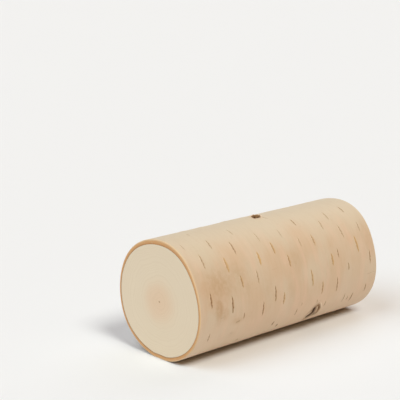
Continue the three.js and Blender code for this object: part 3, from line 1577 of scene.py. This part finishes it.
@dataclass(frozen=True)
class SandedBirchEndGrain:
    """Birch end grain, sawn and sanded: pale cream, with rings that hardly show.

    The heart is a little pinker, there is a brown dot at the pith, and the saw's fine lines catch
    the light.
    """

    ground: str = "#e9d9be"
    washes: tuple[Wash, ...] = (
        Wash("clouds", "#ebdcc1", 0.3, 0.7, 0.5),
        Wash("heartwood", "#e8c4a1", 0.0, 1.0, 0.55),
        Wash("rings", "#cdb48e", 0.0, 1.0, 0.11, through="clouds"),
        Wash("pores", "#cdb48e", 0.5, 0.75, 0.14),
        Wash("sapwood", "#e3d8c0", 0.0, 1.0, 0.6),
        Wash("pith", "#a98258", 0.0, 1.0, 0.7),
    )
    reliefs: tuple[Relief, ...] = (Relief("saw", 0.05, 0.12), Relief("pores", 0.08, 0.2))
    ring_mm: float = 2.4
    ring_swing: float = 0.45  # how uneven the years are, in rings
    heart_mm: tuple[float, float] = (1.0, 29.0)  # where the heart's colour starts to fade, and ends
    pith_mm: tuple[float, float] = (0.4, 1.1)
    wander_mm: float = 2.4  # how far the rings stray from true circles
    saw_line_mm: float = 1.3
    gloss: Gloss = Gloss(0.6, 1.5, specular=0.35)

    def material(self) -> bpy.types.Material:
        """Makes the sawn wood's material.

        Returns:
            The material.
        """
        material, tree, shader = self.gloss.material("birch end grain, sanded")
        patterns = self.patterns(tree)
        colour = lay_washes(tree, self.ground, self.washes, patterns)
        tree.links.new(colour, shader.inputs["Base Color"])
        tree.links.new(lay_relief(tree, self.reliefs, patterns), shader.inputs["Normal"])
        return material

    def patterns(self, tree: bpy.types.NodeTree) -> Patterns:
        """Makes the wood's patterns.

        Args:
            tree: The node tree to add to.

        Returns:
            The patterns by name.
        """
        place = add_node(tree, "ShaderNodeTexCoord", give="Object")
        pith = (0.0, -PITH_SIDE * METRES, -PITH_HEIGHT * METRES)
        moved = add_node(tree, "ShaderNodeMapping", Vector=place, Location=pith)
        flat = add_node(tree, "ShaderNodeMapping", Vector=moved, Scale=(0.0, 1 / METRES, 1 / METRES))
        away = add_node(tree, "ShaderNodeVectorMath", {"operation": "LENGTH"}, Vector=flat)
        stray = add_node(
            tree,
            EASE,
            Value=solid_pattern(tree, 40, 17),
            From_Min=0.2,
            From_Max=0.8,
            To_Min=-self.wander_mm,
            To_Max=self.wander_mm,
        )
        wavy = add_node(tree, SUMS, {"operation": "ADD"}, Value=away, Value_001=stray)
        even = add_node(tree, SUMS, {"operation": "DIVIDE"}, Value=wavy, Value_001=self.ring_mm)
        years = add_node(tree, SUMS, {"operation": "MULTIPLY"}, Value=even, Value_001=1.1)
        swing = add_node(tree, SUMS, {"operation": "SINE"}, Value=years)
        settings = {"operation": "MULTIPLY_ADD"}
        count = add_node(tree, SUMS, settings, Value=swing, Value_001=self.ring_swing, Value_002=even)
        season = add_node(tree, SUMS, {"operation": "FRACT"}, Value=count)
        growing = add_node(tree, EASE, SMOOTHLY, Value=season, From_Min=0.4, From_Max=0.9)
        resting = add_node(
            tree, EASE, SMOOTHLY, Value=season, From_Min=0.9, From_Max=1.0, To_Min=1.0, To_Max=0.0
        )
        fading = {"To_Min": 1.0, "To_Max": 0.0}
        heart_start, heart_end = self.heart_mm
        pith_start, pith_end = self.pith_mm
        rim = add_node(tree, "ShaderNodeAttribute", {"attribute_name": "wood_depth"}, give="Fac")
        return {
            "clouds": solid_pattern(tree, 30, 22),
            "pores": solid_pattern(tree, 0.6, 0.6, 2.0, 0.6),
            "rings": add_node(tree, SUMS, {"operation": "MULTIPLY"}, Value=growing, Value_001=resting),
            "heartwood": add_node(
                tree, EASE, SMOOTHLY, Value=wavy, From_Min=heart_start, From_Max=heart_end, **fading
            ),
            "pith": add_node(
                tree, EASE, SMOOTHLY, Value=away, From_Min=pith_start, From_Max=pith_end, **fading
            ),
            "sapwood": add_node(tree, EASE, SMOOTHLY, Value=rim, From_Min=0.3, From_Max=1.8, **fading),
            "saw": add_node(
                tree,
                "ShaderNodeTexWave",
                {"wave_type": "BANDS", "bands_direction": "DIAGONAL"},
                give="Fac",
                Vector=place,
                Scale=per_metre(self.saw_line_mm) / 20,
                Distortion=1.5,
                Detail=1.0,
            ),
        }


@dataclass(frozen=True)
class BackgroundPaper:
    """Matt white background paper, a little cool, that gives soft shadows and no reflections."""

    colour: str = "#e8ecee"
    gloss: Gloss = Gloss(0.95, 1.5, specular=0.0)

    def material(self) -> bpy.types.Material:
        """Makes the floor's material.

        Returns:
            The material.
        """
        material, tree, shader = self.gloss.material("white background paper")
        shader.inputs["Base Color"].default_value = linear(self.colour)
        return material


# ---------------------------------------------------------------------------------------------
# The log and its stage
# ---------------------------------------------------------------------------------------------


@dataclass
class BirchLog:
    """The whole log: one closed skin of bark and two sawn ends."""

    trunk: Trunk
    scatter: PoreScatter = field(default_factory=PoreScatter)

    def build(self) -> bpy.types.Object:
        """Makes the log, and sets it in the frame in place of the solid one.

        Returns:
            The log's object.
        """
        placed: list[Mark] = [*KNOTS, *LENTICELS, *SCRATCHES]
        grown = self.scatter.grow(self.trunk, placed)
        REPORT.info("pores: %d placed, %d scattered", len(LENTICELS), len(grown))
        bark = Bark(self.trunk, tuple(placed + grown))
        skin = Skin()
        flat_map = FlatMap(self.trunk)
        edges = bark.grow(skin, flat_map)
        points = np.concatenate(skin.points)
        for facing, edge in zip((-1, 1), edges):
            rim = points[edge]
            along = facing * bark.reach
            height = self.trunk.axis_height(np.full(len(edge), along))
            around = np.linspace(-math.pi, math.pi, len(edge) + 1)[:-1]
            outer = np.hypot(rim[:, 1], rim[:, 2] - height)
            SawnEnd(self.trunk, facing).close(skin, flat_map, edge, around, outer)
        mesh = skin.mesh("log_skin")
        for finish in (RubbedBirchBark(), SawnBirchBark(), SandedBirchEndGrain()):
            mesh.materials.append(finish.material())
        piece = bpy.data.objects.new("birch_log", mesh)
        bpy.context.scene.collection.objects.link(piece)
        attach(piece, "root")
        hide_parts("log")
        REPORT.info("log: %d vertices, %d faces", len(mesh.vertices), len(mesh.polygons))
        return piece


@dataclass(frozen=True)
class Softbox:
    """A soft lamp, far off: where it stands, how wide it looks in degrees, and its light."""

    name: str
    stands: tuple[float, float, float]
    width: float
    power: float
    colour: str

    def place(self) -> None:
        """Puts the lamp in the scene."""
        lamp = bpy.data.lights.new(self.name, "SUN")
        lamp.energy = self.power
        lamp.color = linear(self.colour)[:3]
        lamp.angle = math.radians(self.width)
        softbox = bpy.data.objects.new(self.name, lamp)
        softbox.rotation_euler = Vector(self.stands).to_track_quat("Z", "Y").to_euler()
        bpy.context.scene.collection.objects.link(softbox)


SOFTBOXES = (
    Softbox("key", (-0.1, -0.62, 0.79), 22, 1.9, "#fffdf6"),
    Softbox("overhead", (-0.8, 0.2, 0.97), 50, 1.62, "#dcf1ff"),
    Softbox("back", (0.7, 0.26, 0.9), 50, 0.6, "#f2f6ff"),
)


@dataclass(frozen=True)
class Stage:
    """A plain pale floor, soft studio light and the camera."""

    floor_half: float = 14.0  # metres
    floor_gap: float = 0.00005  # how far the floor lies below the log, in metres
    azimuth: float = -42.4  # the way to the camera, in degrees
    elevation: float = 13.86
    distance: float = 1.098  # metres from the point it aims at
    aim: tuple[float, float, float] = (-0.0327, 0.0302, 0.1145)
    lens: float = 117.6  # millimetres
    sensor: float = 36.0  # millimetres
    room: float = 0.225  # how strong the room's own light is
    walls: str = "#ffbb74"
    backdrop: str = "#f4f3f1"
    softboxes: tuple[Softbox, ...] = SOFTBOXES

    def build(self) -> None:
        """Makes the floor, the lights and the camera."""
        self.floor()
        self.lights()
        self.camera()

    def floor(self) -> None:
        """A wide floor at the log's own ground."""
        mesh = bpy.data.meshes.new("floor")
        half = self.floor_half
        corners = [(-half, -half, 0), (half, -half, 0), (half, half, 0), (-half, half, 0)]
        mesh.from_pydata(corners, [], [(0, 1, 2, 3)])
        mesh.materials.append(BackgroundPaper().material())
        floor = bpy.data.objects.new("floor", mesh)
        floor.location.z = -self.floor_gap
        bpy.context.scene.collection.objects.link(floor)

    def lights(self) -> None:
        """Three soft lamps in a dim, warm room. The camera and gloss see a white backdrop."""
        world = bpy.data.worlds.new("studio")
        world.use_nodes = True
        tree = world.node_tree
        tree.nodes.clear()
        room = add_node(tree, "ShaderNodeBackground", Color=linear(self.walls), Strength=self.room)
        backdrop = add_node(tree, "ShaderNodeBackground", Color=linear(self.backdrop), Strength=1.0)
        seen = add_node(tree, "ShaderNodeLightPath", give="Is Diffuse Ray")
        both = add_node(tree, "ShaderNodeMixShader", Fac=seen, Shader=backdrop, Shader_001=room)
        add_node(tree, "ShaderNodeOutputWorld", Surface=both)
        bpy.context.scene.world = world

        for softbox in self.softboxes:
            softbox.place()

    def camera(self) -> None:
        """The camera, at the viewing angle."""
        lens = bpy.data.cameras.new("camera")
        lens.lens = self.lens
        lens.sensor_width = self.sensor
        lens.clip_end = 100
        camera = bpy.data.objects.new("camera", lens)
        turn = math.radians(self.azimuth)
        rise = math.radians(self.elevation)
        back = Vector((math.sin(turn) * math.cos(rise), -math.cos(turn) * math.cos(rise), math.sin(rise)))
        camera.location = Vector(self.aim) + self.distance * back
        camera.rotation_euler = back.to_track_quat("Z", "Y").to_euler()
        bpy.context.scene.collection.objects.link(camera)
        bpy.context.scene.camera = camera
        bpy.context.scene.view_settings.view_transform = "Standard"


def main() -> None:
    """Builds the stage and the log."""
    logging.basicConfig(level=logging.INFO, format="%(name)s: %(message)s")
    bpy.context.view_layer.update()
    low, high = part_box("log")
    Stage().build()
    BirchLog(Trunk(length=(high[0] - low[0]) / METRES)).build()


if __name__ == "__main__":
    main()
